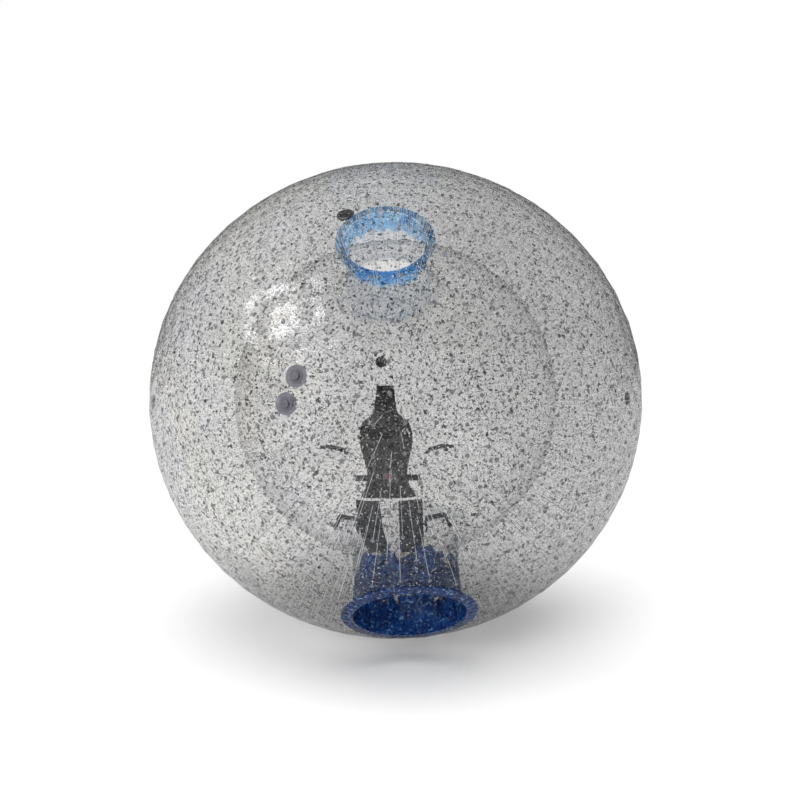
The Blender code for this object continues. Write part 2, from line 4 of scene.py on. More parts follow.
import bpy
import numpy as np
from mathutils import Matrix, Vector, kdtree, noise


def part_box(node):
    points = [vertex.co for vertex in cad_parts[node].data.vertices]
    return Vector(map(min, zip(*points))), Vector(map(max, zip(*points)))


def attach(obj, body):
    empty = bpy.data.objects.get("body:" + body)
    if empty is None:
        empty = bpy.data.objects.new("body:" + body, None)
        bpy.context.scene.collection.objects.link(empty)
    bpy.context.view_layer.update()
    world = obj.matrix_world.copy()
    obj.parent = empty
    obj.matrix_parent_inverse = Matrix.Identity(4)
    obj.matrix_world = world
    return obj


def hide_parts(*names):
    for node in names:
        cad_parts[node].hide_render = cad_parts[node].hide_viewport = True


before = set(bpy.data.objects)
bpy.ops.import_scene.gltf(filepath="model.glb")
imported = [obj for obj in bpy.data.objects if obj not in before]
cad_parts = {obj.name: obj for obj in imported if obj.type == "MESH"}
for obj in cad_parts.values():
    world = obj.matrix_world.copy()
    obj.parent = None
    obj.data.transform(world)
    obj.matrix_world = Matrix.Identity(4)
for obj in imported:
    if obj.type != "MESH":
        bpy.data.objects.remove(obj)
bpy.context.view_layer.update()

# ---- driving sizes, in metres and degrees ----------------------------------------------------
TUNNEL_TILT = 49.0            # the front opening looks this far below level
SAG = 0.033                   # share of its height the outer ball loses under its own weight
TUNNEL_RADIUS = 0.310
FILM = 0.0010
OUTER_GORES = 8
INNER_GORES = 6
BALL = "ball"

ANCHOR_SPACING = 0.148        # between tethers on the outer ball
ANCHOR_DISC = 0.0105          # radius of a tether's welded disc
TETHER_RADIUS = 0.0014
MOUTH_MARGIN = 0.10           # from an opening's edge to the first ring of tethers
FITTING_MARGIN = 0.075        # no tether stands nearer to the middle of a valve or ring patch
FILM_STEP = 0.022             # mesh size of the clear film
EDGE_FADE = 0.05              # the wrinkles die out this far from an opening
SHARP_ANGLE = 50.0            # edges keep their crease above this angle

WEB_WIDTH = 0.050
WEB_THICKNESS = 0.0035
PAD_REACH = (0.990, 0.976)    # back and front of the back pad, from the ball's centre
PAD_ROWS = ((81, 0.200), (87, 0.150), (93, 0.140), (99, 0.160), (105, 0.190), (111, 0.195),
            (116, 0.170), (120, 0.085), (126, 0.070), (132, 0.060))
LEG_REACH = (0.990, 0.980)
LEG_AZIMUTH = 9.0
LEG_ROWS = ((42, 0.060), (49, 0.075), (56, 0.078), (63, 0.078), (71, 0.080), (79, 0.082))
SHOULDER_REACH = 0.9715
SHOULDER_AZIMUTH = 6.8
SHOULDER_ROWS = ((95, 0.025), (118, 0.025))
SHOULDER_TOP_LEAN = 3.0
BELT_POLAR = 90.0
GRIP_PLACES = ((101.5, -23.5), (101.5, 23.5))
FOOT_PLACES = ((60.0, -21.5), (60.0, 21.5))
RING_PLACES = ((95.5, 192.9), (90.0, 90.0), (90.0, 270.0), (138.0, 0.0))
WALL_CLEARANCE = 0.010        # fittings stand this far inside the inner wall
GRIP_LOOP = (0.075, 0.035, 0.048, 0.025)   # half span, sewn foot, rise and width
FOOT_LOOP = (0.072, 0.018, 0.095, 0.060)
RING_WEB_WIDTH = 0.025
RING_WEB_THICKNESS = 0.0015
TUBE_LENGTH = 0.100
TUBE_OUTER = 0.0170
TUBE_INNER = 0.0138

CAMERA_DISTANCE = 5.5
CAMERA_AZIMUTH = -4.5
CAMERA_ELEVATION = 5.0
BALL_RADIUS_SHARE = 0.308125  # the ball's radius as a share of the picture's width
LENS_SHIFT = 0.0055
FLOOR_REACH = 60.0
FLOOR_GAP = 0.001             # the floor lies this far below the ball
SKY_LOW = 0.14                # light from the horizon and from overhead
SKY_HIGH = 0.32
SUN_STRENGTH = 2.9
SUN_ANGLE = 75.0              # a wide sun makes the wide soft shadow


def span(names):
    """Lowest and highest corner of several CAD nodes together."""
    boxes = [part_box(name) for name in names]
    low = np.min([box[0] for box in boxes], axis=0)
    high = np.max([box[1] for box in boxes], axis=0)
    return low, high


OUTER_NODES = [f"outer_gore_{number + 1}" for number in range(OUTER_GORES)]
INNER_NODES = [f"inner_gore_{number + 1}" for number in range(INNER_GORES)]
outer_low, outer_high = span(OUTER_NODES)
inner_low, inner_high = span(INNER_NODES)
OUTER_RADIUS = float(outer_high[0] - outer_low[0]) / 2.0
INNER_RADIUS = float(inner_high[0] - inner_low[0]) / 2.0
CENTRE = np.array([0.0, 0.0, float(inner_high[2] + inner_low[2]) / 2.0])

TILT = math.radians(TUNNEL_TILT)
FRONT = np.array([0.0, -math.cos(TILT), -math.sin(TILT)])
UNDER = np.array([0.0, math.sin(TILT), -math.cos(TILT)])
SIDE = np.array([1.0, 0.0, 0.0])


# ---- shape of the ball -----------------------------------------------------------------------
def settle(points):
    """Points counted from the centre of the round ball, moved to where they lie at rest."""
    points = np.asarray(points, dtype=float)
    radius = np.linalg.norm(points, axis=-1)
    share = np.clip((radius - INNER_RADIUS) / (OUTER_RADIUS - INNER_RADIUS), 0.0, None)
    height = points[..., 2] * (1.0 - SAG * share)
    floor = OUTER_RADIUS - radius - CENTRE[2]
    height = np.where(share > 0.9, np.maximum(height, np.maximum(floor, -CENTRE[2])), height)
    moved = points.copy()
    moved[..., 2] = height
    return moved + CENTRE


def direction(polar, azimuth):
    """Unit vectors for polar and azimuth angles in radians."""
    polar = np.asarray(polar, dtype=float)[..., None]
    azimuth = np.asarray(azimuth, dtype=float)[..., None]
    round_axis = UNDER * np.cos(azimuth) + SIDE * np.sin(azimuth)
    return FRONT * np.cos(polar) + round_axis * np.sin(polar)


def on_ball(radius, polar, azimuth):
    return settle(direction(polar, azimuth) * np.asarray(radius, dtype=float)[..., None])


def unit(vectors):
    """The same directions with length one, along the last axis."""
    return vectors / np.linalg.norm(vectors, axis=-1, keepdims=True)


def distance_along(line):
    """Length of a line of points up to each of them."""
    return np.concatenate([[0.0], np.cumsum(np.linalg.norm(np.diff(line, axis=0), axis=1))])


def points_at(places, travel, line):
    """Points at given lengths along a line whose own points lie at the lengths in travel."""
    return np.stack([np.interp(places, travel, line[:, axis]) for axis in range(line.shape[1])], axis=1)


# ---- mesh helpers ----------------------------------------------------------------------------
def finish_piece(name, vertices, faces, skin, nodes=(), slot=None, body=BALL, uv=None):
    """Make one visual piece; uv is (u, v) in metres for each vertex."""
    mesh = bpy.data.meshes.new(name)
    mesh.from_pydata([tuple(map(float, vertex)) for vertex in vertices], [], faces)
    mesh.update()
    mesh.polygons.foreach_set("use_smooth", [True] * len(mesh.polygons))
    mesh.set_sharp_from_angle(angle=math.radians(SHARP_ANGLE))
    if uv is not None:
        layer = mesh.uv_layers.new(name="metres")
        corners = np.empty(len(mesh.loops), dtype=int)
        mesh.loops.foreach_get("vertex_index", corners)
        layer.data.foreach_set("uv", np.asarray(uv, dtype=float)[corners].ravel())
    mesh.materials.append(skin)
    piece = bpy.data.objects.new(name, mesh)
    bpy.context.scene.collection.objects.link(piece)
    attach(piece, body)
    if nodes:
        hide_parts(*nodes)
    return piece


def grid_faces(rows, columns, start=0, wrap=False):
    """Quads of a grid whose points run along the columns first."""
    faces = []
    for row in range(rows - 1):
        for column in range(columns - (0 if wrap else 1)):
            a = start + row * columns + column
            b = start + row * columns + (column + 1) % columns
            faces.append((a, b, b + columns, a + columns))
    return faces


def solid_grid(name, outside, inside, skin, wrap=False, **settings):
    """Closed piece between two equal grids of points."""
    rows, columns = outside.shape[:2]
    count = rows * columns
    vertices = np.concatenate([outside.reshape(-1, 3), inside.reshape(-1, 3)])
    faces = grid_faces(rows, columns, wrap=wrap)
    faces += [tuple(index + count for index in reversed(face)) for face in faces[:]]
    if wrap:
        edges = [list(range(columns)), [(rows - 1) * columns + c for c in range(columns)]]
        for number, edge in enumerate(edges):
            for here, there in zip(edge, edge[1:] + edge[:1]):
                quad = (there, here, here + count, there + count)
                faces.append(quad if number == 0 else tuple(reversed(quad)))
    else:
        border = list(range(columns))
        border += [row * columns + columns - 1 for row in range(1, rows)]
        border += [(rows - 1) * columns + c for c in range(columns - 2, -1, -1)]
        border += [row * columns for row in range(rows - 2, 0, -1)]
        for here, there in zip(border, border[1:] + border[:1]):
            faces.append((there, here, here + count, there + count))
    return finish_piece(name, vertices, faces, skin, **settings)


# ---- node materials --------------------------------------------------------------------------
SHADED_SIDE = (0.70, 0.0, -0.05)    # painted shade: the film is tinted darker on this side, away from the lamps
WAVE_TURN = 10.0 / math.pi    # repeats of a wave texture for each unit of its scale


class Nodes:
    """Small helper that wires a material's nodes."""

    def __init__(self, name):
        self.material = bpy.data.materials.new(name)
        self.material.use_nodes = True
        self.tree = self.material.node_tree
        self.tree.nodes.clear()
        self.output = self.add("ShaderNodeOutputMaterial")
        self.place = self.add("ShaderNodeTexCoord").outputs["Object"]

    def add(self, kind, inputs=None, **settings):
        node = self.tree.nodes.new(kind)
        for key, value in settings.items():
            setattr(node, key, value)
        for key, value in (inputs or {}).items():
            if isinstance(value, bpy.types.NodeSocket):
                self.tree.links.new(value, node.inputs[key])
            else:
                node.inputs[key].default_value = value
        return node

    def noise(self, scale, detail=3.0, roughness=0.55, distortion=0.0):
        made = self.add("ShaderNodeTexNoise", {"Vector": self.place, "Scale": scale, "Detail": detail,
                                               "Roughness": roughness, "Distortion": distortion})
        return made.outputs["Fac"]

    def remap(self, value, low, high, to_low=0.0, to_high=1.0):
        made = self.add("ShaderNodeMapRange", {"Value": value, "From Min": low, "From Max": high,
                                               "To Min": to_low, "To Max": to_high})
        made.clamp = True
        return made.outputs["Result"]

    def math(self, operation, first, second=0.0):
        made = self.add("ShaderNodeMath", {0: first, 1: second}, operation=operation)
        return made.outputs["Value"]

    def blend(self, share, first, second):
        made = self.add("ShaderNodeMix", data_type="RGBA")
        values = ((made.inputs[0], share), (made.inputs[6], first), (made.inputs[7], second))
        for socket, value in values:
            if isinstance(value, bpy.types.NodeSocket):
                self.tree.links.new(value, socket)
            else:
                socket.default_value = value if socket is made.inputs[0] else (*value, 1.0)
        return made.outputs[2]

    def bump(self, height, strength, distance, under=None):
        inputs = {"Height": height, "Strength": strength, "Distance": distance}
        if under is not None:
            inputs["Normal"] = under
        return self.add("ShaderNodeBump", inputs).outputs["Normal"]

    def surface(self, shader):
        self.tree.links.new(shader, self.output.inputs["Surface"])
        return self.material


def clear_film(name, clear, dark, dark_share, milk, speck_scale, gloss_share):
    """Clear PVC film: crackled, with painted shade in its folds, bright specks and painted shade on one
    side, glossy over fine wrinkles.

    clear and dark are the tints of one face, dark_share the part of it the painted shade in the folds
    covers, and gloss_share how much of its full reflection the scuffed film keeps.
    """
    make = Nodes(name)
    folds = make.noise(speck_scale, detail=2.5, roughness=0.6, distortion=0.9)
    specks = make.noise(1.7 * speck_scale, detail=2.0, roughness=0.5, distortion=0.4)
    patches = make.noise(1.6, detail=2.0)
    middle = 0.5 + 0.30 * (0.5 - dark_share)
    # painted shade: the film's tint turns dark in the crackled folds
    shade = make.remap(folds, middle - 0.02, middle + 0.08)
    hue = make.remap(patches, 0.40, 0.60)
    cool = tuple(level * part for level, part in zip(clear, (0.994, 0.992, 1.000)))
    warm = tuple(level * part for level, part in zip(clear, (1.0, 0.997, 0.984)))
    # painted shade: the tint darkens towards the right side, broken up by noise
    side = make.add("ShaderNodeVectorMath", {0: make.place, 1: SHADED_SIDE}, operation="DOT_PRODUCT")
    side_shade = make.math("ADD", side.outputs["Value"], make.math("MULTIPLY", make.noise(2.6, detail=3.0), 2.4))
    side_shade = make.remap(side_shade, 0.30, 1.50)
    shaded_tint = tuple(level ** 2.2 for level in clear)
    even = make.blend(side_shade, make.blend(hue, cool, warm), shaded_tint)
    tint = make.blend(shade, even, dark)
    clear_part = make.add("ShaderNodeBsdfTransparent", {"Color": tint})
    normal = make.bump(folds, 0.45, 0.006)
    body = make.add("ShaderNodeBsdfPrincipled", {"Base Color": (0.78, 0.78, 0.77, 1.0), "Roughness": 0.4,
                                                 "Normal": normal})
    through = make.add("ShaderNodeBsdfTranslucent", {"Color": (0.80, 0.80, 0.79, 1.0), "Normal": normal})
    soft = make.add("ShaderNodeMixShader", {0: 0.45, 1: body.outputs[0], 2: through.outputs[0]})
    bright = make.remap(specks, 0.65, 0.71, 0.002, milk)
    film = make.add("ShaderNodeMixShader", {0: bright, 1: clear_part.outputs[0], 2: soft.outputs[0]})
    gloss = make.add("ShaderNodeBsdfGlossy", {"Roughness": 0.14, "Normal": normal})
    facing = make.add("ShaderNodeLayerWeight", {"Blend": 0.5, "Normal": normal}).outputs["Facing"]
    share = make.math("ADD", make.math("MULTIPLY", make.math("POWER", facing, 5.0), 0.96), 0.04)
    share = make.math("MULTIPLY", share, gloss_share)
    whole = make.add("ShaderNodeMixShader", {0: share, 1: film.outputs[0], 2: gloss.outputs[0]})
    return make.surface(whole.outputs[0])


def blue_film(name, light, dark, pale, through=0.0, clear_below=None):
    """Blue PVC with soft folds and pale flecks, partly scuffs and partly painted glints; through is its
    see-through share.

    clear_below is (end, height): nearer the ball's centre than this height the sleeve is clear.
    """
    make = Nodes(name)
    folds = make.noise(11.0, detail=4.0, distortion=1.2)
    fine = make.noise(60.0, detail=3.0, roughness=0.65)
    colour = make.blend(make.remap(folds, 0.38, 0.62), dark, light)
    # pale flecks: partly scuffs, partly painted glints
    scuffs_and_glints = make.remap(fine, 0.58, 0.66, 0.0, 0.60)
    colour = make.blend(scuffs_and_glints, colour, pale)
    normal = make.bump(folds, 0.6, 0.03)
    normal = make.bump(fine, 0.5, 0.008, normal)
    shader = make.add("ShaderNodeBsdfPrincipled", {"Base Color": colour, "Normal": normal,
                                                   "Roughness": make.remap(fine, 0.3, 0.7, 0.18, 0.42)})
    shader.inputs["Specular IOR Level"].default_value = 0.25
    clear_part = make.add("ShaderNodeBsdfTransparent", {"Color": make.blend(scuffs_and_glints, pale, light)})
    share = make.remap(folds, 0.35, 0.65, 0.6 * through, min(1.0, 1.3 * through))
    film = make.add("ShaderNodeMixShader", {0: share, 1: shader.outputs[0], 2: clear_part.outputs[0]})
    if clear_below is None:
        return make.surface(film.outputs[0])
    end, height = clear_below
    axis = tuple(FRONT * end)
    along = make.add("ShaderNodeVectorMath", {0: make.place, 1: axis}, operation="DOT_PRODUCT")
    reach = make.math("SUBTRACT", along.outputs["Value"], float(CENTRE @ (FRONT * end)) + height)
    reach = make.math("ADD", reach, make.math("MULTIPLY", make.math("SUBTRACT", folds, 0.5), 0.30))
    blue_share = make.remap(reach, -0.015, 0.015)
    plain = make.add("ShaderNodeBsdfTransparent", {"Color": (0.93, 0.93, 0.93, 1.0)})
    skin = make.add("ShaderNodeMixShader", {0: 0.06, 1: plain.outputs[0], 2: shader.outputs[0]})
    both = make.add("ShaderNodeMixShader", {0: blue_share, 1: skin.outputs[0], 2: film.outputs[0]})
    return make.surface(both.outputs[0])


def woven(name, colour, pitch=0.0016, sheen=0.25):
    """Webbing or cloth, by its flat size in metres: crossed threads, a little sheen and dust."""
    make = Nodes(name)
    flat = make.add("ShaderNodeUVMap", uv_map="metres").outputs["UV"]
    ribs = []
    for direction_name in ("X", "Y"):
        wave = make.add("ShaderNodeTexWave", {"Vector": flat, "Scale": 1.0 / (WAVE_TURN * pitch),
                                              "Distortion": 0.5, "Detail": 1.0},
                        wave_type="BANDS", bands_direction=direction_name)
        ribs.append(wave.outputs["Fac"])
    weave = make.math("MULTIPLY", ribs[0], ribs[1])
    dust = make.noise(26.0, detail=4.0)
    pale = tuple(min(1.0, part * 2.2 + 0.02) for part in colour)
    tone = make.blend(make.remap(dust, 0.4, 0.75, 0.0, 0.6), colour, pale)
    tone = make.blend(make.math("MULTIPLY", weave, 0.5), tone, pale)
    normal = make.bump(weave, 0.6, 0.0010)
    shader = make.add("ShaderNodeBsdfPrincipled", {"Base Color": tone, "Normal": normal,
                                                   "Roughness": make.remap(dust, 0.3, 0.7, 0.62, 0.85)})
    shader.inputs["Sheen Weight"].default_value = sheen
    return make.surface(shader.outputs[0])


def moulded(name, colour, roughness=0.4, metallic=0.0, grain=220.0):
    """Moulded plastic, rubber or plated steel, with grain and rubbed lighter spots."""
    make = Nodes(name)
    fine = make.noise(grain, detail=3.0)
    wear = make.noise(18.0, detail=4.0)
    pale = tuple(min(1.0, part * 1.35 + 0.03) for part in colour)
    tone = make.blend(make.remap(wear, 0.45, 0.7), colour, pale)
    normal = make.bump(fine, 0.25, 0.0006)
    rough = make.remap(wear, 0.3, 0.7, roughness * 0.8, roughness * 1.25)
    shader = make.add("ShaderNodeBsdfPrincipled", {"Base Color": tone, "Normal": normal,
                                                   "Roughness": rough})
    shader.inputs["Metallic"].default_value = metallic
    return make.surface(shader.outputs[0])


OUTER_FILM = clear_film("outer_film_skin", clear=(0.928, 0.928, 0.927), dark=(0.32, 0.32, 0.33),
                        dark_share=0.24, milk=0.90, speck_scale=58.0, gloss_share=0.50)
INNER_FILM = clear_film("inner_film_skin", clear=(1.0, 1.0, 1.0), dark=(0.86, 0.86, 0.87),
                        dark_share=0.03, milk=0.85, speck_scale=66.0, gloss_share=0.35)
# painted light: one blue film, painted dark navy at the front sleeve and collar as painted shade and bright
# sky blue at the back as painted backlight
SHADED_NEAR_BLUE = blue_film("shaded_near_blue_skin", light=(0.002, 0.036, 0.165), dark=(0.001, 0.003, 0.045),
                      pale=(0.20, 0.42, 0.60), clear_below=(1.0, 1.20))
BACKLIT_FAR_BLUE = blue_film("backlit_far_blue_skin", light=(0.16, 0.54, 1.0), dark=(0.05, 0.26, 0.70),
                     pale=(0.60, 0.84, 1.0), through=0.75, clear_below=(-1.0, 1.27))
SHADED_RIM_BLUE = blue_film("shaded_rim_blue_skin", light=(0.002, 0.034, 0.140), dark=(0.001, 0.004, 0.045),
                     pale=(0.40, 0.60, 0.75), through=0.05)
CLEAR_RIM = clear_film("clear_rim_skin", clear=(0.96, 0.965, 0.97), dark=(0.72, 0.73, 0.75),
                       dark_share=0.16, milk=0.30, speck_scale=50.0, gloss_share=0.3)
CORD = moulded("tether_cord_skin", (0.66, 0.67, 0.68), 0.5)
DISC = moulded("anchor_disc_skin", (0.11, 0.11, 0.12), 0.5)
WEBBING = woven("black_webbing_skin", (0.006, 0.006, 0.007), sheen=0.08)
PAD_CLOTH = woven("pad_cloth_skin", (0.006, 0.006, 0.007), pitch=0.0011, sheen=0.08)
THREAD = moulded("thread_skin", (0.06, 0.06, 0.065), 0.6)
PLASTIC = moulded("valve_plastic_skin", (0.085, 0.085, 0.100), 0.45)
PATCH = moulded("valve_patch_skin", (0.110, 0.108, 0.130), 0.45)
STEEL = moulded("ring_steel_skin", (0.16, 0.16, 0.17), 0.30, metallic=1.0)
BLADE = moulded("blade_steel_skin", (0.52, 0.53, 0.55), 0.26, metallic=1.0)
RUBBER = moulded("grip_rubber_skin", (0.02, 0.02, 0.022), 0.6)
RED = moulded("button_skin", (0.42, 0.03, 0.02), 0.35)


# ---- tethers ---------------------------------------------------------------------------------
def anchor_lattice():
    """(polar, azimuth) of every tether: even rows from the front opening to the back one."""
    mouth = math.asin(TUNNEL_RADIUS / OUTER_RADIUS)
    margin = MOUTH_MARGIN / OUTER_RADIUS
    rows = round((math.pi - 2.0 * (mouth + margin)) * OUTER_RADIUS / ANCHOR_SPACING)
    places = []
    for row in range(rows + 1):
        polar = mouth + margin + (math.pi - 2.0 * (mouth + margin)) * row / rows
        count = round(2.0 * math.pi * OUTER_RADIUS * math.sin(polar) / ANCHOR_SPACING)
        for number in range(count):
            places.append((polar, 2.0 * math.pi * (number + 0.5 * (row % 2)) / count))
    return np.array(places)


PATCH_NODES = [f"valve_{number}_patch" for number in (1, 2)]
PATCH_NODES += [f"anchor_{number}_patch" for number in (1, 2, 3, 4)]
fittings = [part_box(name) for name in PATCH_NODES]
anchors = anchor_lattice()
anchor_points = on_ball(np.full(len(anchors), OUTER_RADIUS), anchors[:, 0], anchors[:, 1])
fitting_centres = np.array([(np.array(low) + np.array(high)) / 2.0 for low, high in fittings])
gaps = np.linalg.norm(anchor_points[:, None, :] - fitting_centres[None], axis=2).min(axis=1)
anchors = anchors[gaps > FITTING_MARGIN]


def frames_for(directions):
    """Two unit vectors across each direction."""
    helper = np.where(np.abs(directions[:, 2:3]) < 0.9, [[0.0, 0.0, 1.0]], [[1.0, 0.0, 0.0]])
    first = unit(np.cross(directions, helper))
    return first, np.cross(directions, first)


def rods(name, starts, ends, profile, sides, skin, **settings):
    """Many turned rods in one piece; profile is a list of (share of length, offset, radius)."""
    line = ends - starts
    length = np.linalg.norm(line, axis=1)[:, None]
    line = line / length
    first, second = frames_for(line)
    turns = 2.0 * math.pi * np.arange(sides) / sides
    vertices = []
    faces = []
    per_rod = len(profile) * sides
    for number in range(len(starts)):
        base = number * per_rod
        for share, offset, radius in profile:
            middle = starts[number] + line[number] * (length[number] * share + offset)
            way = np.cos(turns)[:, None] * first[number] + np.sin(turns)[:, None] * second[number]
            vertices.append(middle + radius * way)
        faces += grid_faces(len(profile), sides, base, wrap=True)
        faces.append(tuple(base + side for side in reversed(range(sides))))
        faces.append(tuple(base + per_rod - sides + side for side in range(sides)))
    return finish_piece(name, np.concatenate(vertices), faces, skin, **settings)


def build_tethers():
    directions = direction(anchors[:, 0], anchors[:, 1])
    inner = settle(directions * (INNER_RADIUS + 0.004))
    outer = settle(directions * (OUTER_RADIUS - 0.010))
    cord = ((0.0, 0.0, TETHER_RADIUS), (0.5, 0.0, TETHER_RADIUS * 0.9), (1.0, 0.0, TETHER_RADIUS))
    rods("tether_cords", inner, outer, cord, 6, CORD, slot="tether_cord",
         nodes=("tether_1", "tether_2", "tether_3", "tether_4"))
    axis = unit(outer - inner)
    disc = ((0.0, -0.0012, ANCHOR_DISC * 0.75), (0.0, 0.0, ANCHOR_DISC), (0.0, 0.0016, ANCHOR_DISC),
            (0.0, 0.0030, ANCHOR_DISC * 0.4))
    rods("tether_discs_outer", outer + axis * 0.005, outer, disc, 10, DISC, slot="tether_cord")
    small = tuple((share, offset, 0.6 * radius) for share, offset, radius in disc)
    rods("tether_discs_inner", inner - axis * 0.001, outer, small, 10, DISC, slot="tether_cord")


build_tethers()


# ---- clear film ------------------------------------------------------------------------------
def relief(directions, radius, tree, pull, seed):
    """How far the film stands off its round: dimpled at each tether, wrinkled in between."""
    offsets = np.empty(len(directions))
    reach = ANCHOR_SPACING * radius / OUTER_RADIUS
    for number, way in enumerate(directions):
        point = Vector(way)
        _, _, gap = tree.find(point)
        gap *= radius
        dimple = math.exp(-(gap / (0.28 * reach)) ** 2)
        puff = min(1.0, gap / (0.7 * reach)) ** 2
        wave = noise.noise(point * (radius / 0.11) + Vector((seed, 0.0, 0.0)))
        fold = abs(noise.noise(point * (radius / 0.055) + Vector((0.0, seed, 0.0))))
        offsets[number] = pull * (0.0045 * puff - 0.0060 * dimple) + 0.0022 * wave - 0.0030 * fold
    return offsets


def film_pieces(prefix, nodes, radius, pull, skin, seed):
    """One wrinkled sheet for each gore of a ball."""
    tree = kdtree.KDTree(len(anchors))
    for number, way in enumerate(direction(anchors[:, 0], anchors[:, 1])):
        tree.insert(Vector(way), number)
    tree.balance()
    mouth = math.asin((TUNNEL_RADIUS + 0.001) / radius)
    count = len(nodes)
    rows = int((math.pi - 2.0 * mouth) * radius / FILM_STEP)
    columns = int(2.0 * math.pi * radius / count / FILM_STEP)
    for number, node in enumerate(nodes):
        middle = 2.0 * math.pi * number / count
        polar = np.linspace(mouth, math.pi - mouth, rows)[:, None] * np.ones((1, columns))
        half = math.pi / count - 0.0003 / (radius * np.sin(polar[:, :1]))
        azimuth = middle + half * np.linspace(-1.0, 1.0, columns)[None, :]
        ways = direction(polar, azimuth)
        lift = relief(ways.reshape(-1, 3), radius, tree, pull, seed).reshape(rows, columns)
        from_front = (polar - mouth) * radius / EDGE_FADE
        from_back = (math.pi - mouth - polar) * radius / EDGE_FADE
        lift = lift * np.minimum(1.0, from_front) * np.minimum(1.0, from_back) - 0.0015
        outside = settle(ways * (radius + lift)[..., None])
        inside = settle(ways * (radius + lift - FILM)[..., None])
        solid_grid(f"{prefix}_{number + 1}", outside, inside, skin, nodes=(node,), slot="clear_film")


film_pieces("outer_film", OUTER_NODES, OUTER_RADIUS, 1.0, OUTER_FILM, 3.0)
film_pieces("inner_film", INNER_NODES, INNER_RADIUS, -0.7, INNER_FILM, 11.0)


# ---- tunnels and collars -----------------------------------------------------------------------
def on_tunnel(end, radius, height, turn):
    """Points round a tunnel's axis; end is 1 at the front and -1 at the back."""
    radius = np.asarray(radius, dtype=float)[..., None]
    height = np.asarray(height, dtype=float)[..., None]
    turn = np.asarray(turn, dtype=float)[..., None]
    return settle(FRONT * (end * height) + (UNDER * np.cos(turn) + SIDE * np.sin(turn)) * radius)


def tunnel_piece(name, end, skin):
    """Sleeve with long soft folds and puckers at both welds."""
    top = math.sqrt(OUTER_RADIUS ** 2 - TUNNEL_RADIUS ** 2) - 0.002
    low = math.sqrt(INNER_RADIUS ** 2 - TUNNEL_RADIUS ** 2) - 0.022
    rows, columns = 48, 180
    height = np.linspace(low, top, rows)[:, None] * np.ones((1, columns))
    turn = np.ones((rows, 1)) * (2.0 * math.pi * np.arange(columns) / columns)[None, :]
    along = (height - low) / (top - low)
    free = np.sin(math.pi * along)
    folds = 0.010 * np.sin(9.0 * turn + 3.0 * along) + 0.006 * np.sin(17.0 * turn - 5.0 * along + 1.0)
    folds = folds * free + 0.0012 * np.sin(60.0 * turn) * (1.0 - free)
    radius = TUNNEL_RADIUS - 0.003 - 0.022 * free + folds
    outside = on_tunnel(end, radius, height, turn)
    inside = on_tunnel(end, radius - 0.0012, height, turn)
    node = name.replace("_sleeve", "_tunnel")
    solid_grid(name, outside, inside, skin, wrap=True, nodes=(node,), slot="blue_film")


def collar_piece(name, end, ball_radius, node, skin):
    """Doubled ring round an opening, puckered, with a raised weld bead at each edge."""
    columns = 240
    widths = np.linspace(0.0, 1.0, 14)
    turn = 2.0 * math.pi * np.arange(columns) / columns
    axis_radius = (TUNNEL_RADIUS - 0.002 + 0.060 * widths)[:, None] * np.ones((1, columns))
    bead = np.exp(-((widths - 0.06) / 0.05) ** 2) + np.exp(-((widths - 0.92) / 0.05) ** 2)
    bead = 0.0022 * bead[:, None]
    pucker = 0.0016 * np.sin(48.0 * turn)[None, :] * np.sin(math.pi * widths)[:, None]
    reach = ball_radius + 0.0030 + bead + pucker
    height = np.sqrt(reach ** 2 - axis_radius ** 2)
    turns = np.ones((len(widths), 1)) * turn[None, :]
    outside = on_tunnel(end, axis_radius, height, turns)
    inside = on_tunnel(end, axis_radius, height - 0.0022, turns)
    solid_grid(name, outside, inside, skin, wrap=True, nodes=(node,), slot="blue_film")


for label, end, sleeve_skin, rim_skin, hem_skin in (("front", 1.0, SHADED_NEAR_BLUE, SHADED_RIM_BLUE, CLEAR_RIM),
                                                    ("back", -1.0, BACKLIT_FAR_BLUE, BACKLIT_FAR_BLUE, CLEAR_RIM)):
    tunnel_piece(f"{label}_sleeve", end, sleeve_skin)
    collar_piece(f"{label}_outer_ring", end, OUTER_RADIUS, f"{label}_outer_collar", rim_skin)
    collar_piece(f"{label}_inner_ring", end, INNER_RADIUS, f"{label}_inner_collar", hem_skin)


# ---- CAD nodes that keep their shape ---------------------------------------------------------
def repaint(names, skin, bevel=0.0004):
    for name in names:
        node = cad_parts[name]
        node.data.materials.clear()
        node.data.materials.append(skin)
        if bevel:
            rounding = node.modifiers.new("edges", "BEVEL")
            rounding.width = bevel
            rounding.segments = 2
            rounding.limit_method = "ANGLE"


repaint(["valve_1_patch", "valve_2_patch"], PATCH)
repaint([f"valve_{number}_{part}" for number in (1, 2) for part in ("base", "body", "cap")], PLASTIC)
repaint(["valve_1_diaphragm", "valve_2_diaphragm"], RUBBER, 0.0)
repaint([f"anchor_{number}_ring" for number in range(1, len(RING_PLACES) + 1)], STEEL, 0.0)
repaint(["buckle"], PLASTIC)
repaint(["tongue"], BLADE)
repaint(["release_button"], RED)


# ---- webbing and pads ------------------------------------------------------------------------
def wall_frame(radius, place, inward=False):
    """Matrix on the ball: z off the wall, y away from the front opening."""
    polar, azimuth = math.radians(place[0]), math.radians(place[1])
    step = 1e-3
    origin = on_ball(radius, polar, azimuth)
    along = unit(on_ball(radius, polar + step, azimuth) - on_ball(radius, polar - step, azimuth))
    across = on_ball(radius, polar, azimuth + step) - on_ball(radius, polar, azimuth - step)
    normal = unit(np.cross(across, along))
    if (normal @ (origin - CENTRE) < 0.0) != inward:
        normal = -normal
    right = np.cross(along, normal)
    turned = np.eye(4)
    turned[:3, 0], turned[:3, 1], turned[:3, 2], turned[:3, 3] = right, along, normal, origin
    return turned


def placed(matrix, points):
    """Points of a piece's own frame, moved to the scene's frame."""
    return np.asarray(points, dtype=float) @ matrix[:3, :3].T + matrix[:3, 3]


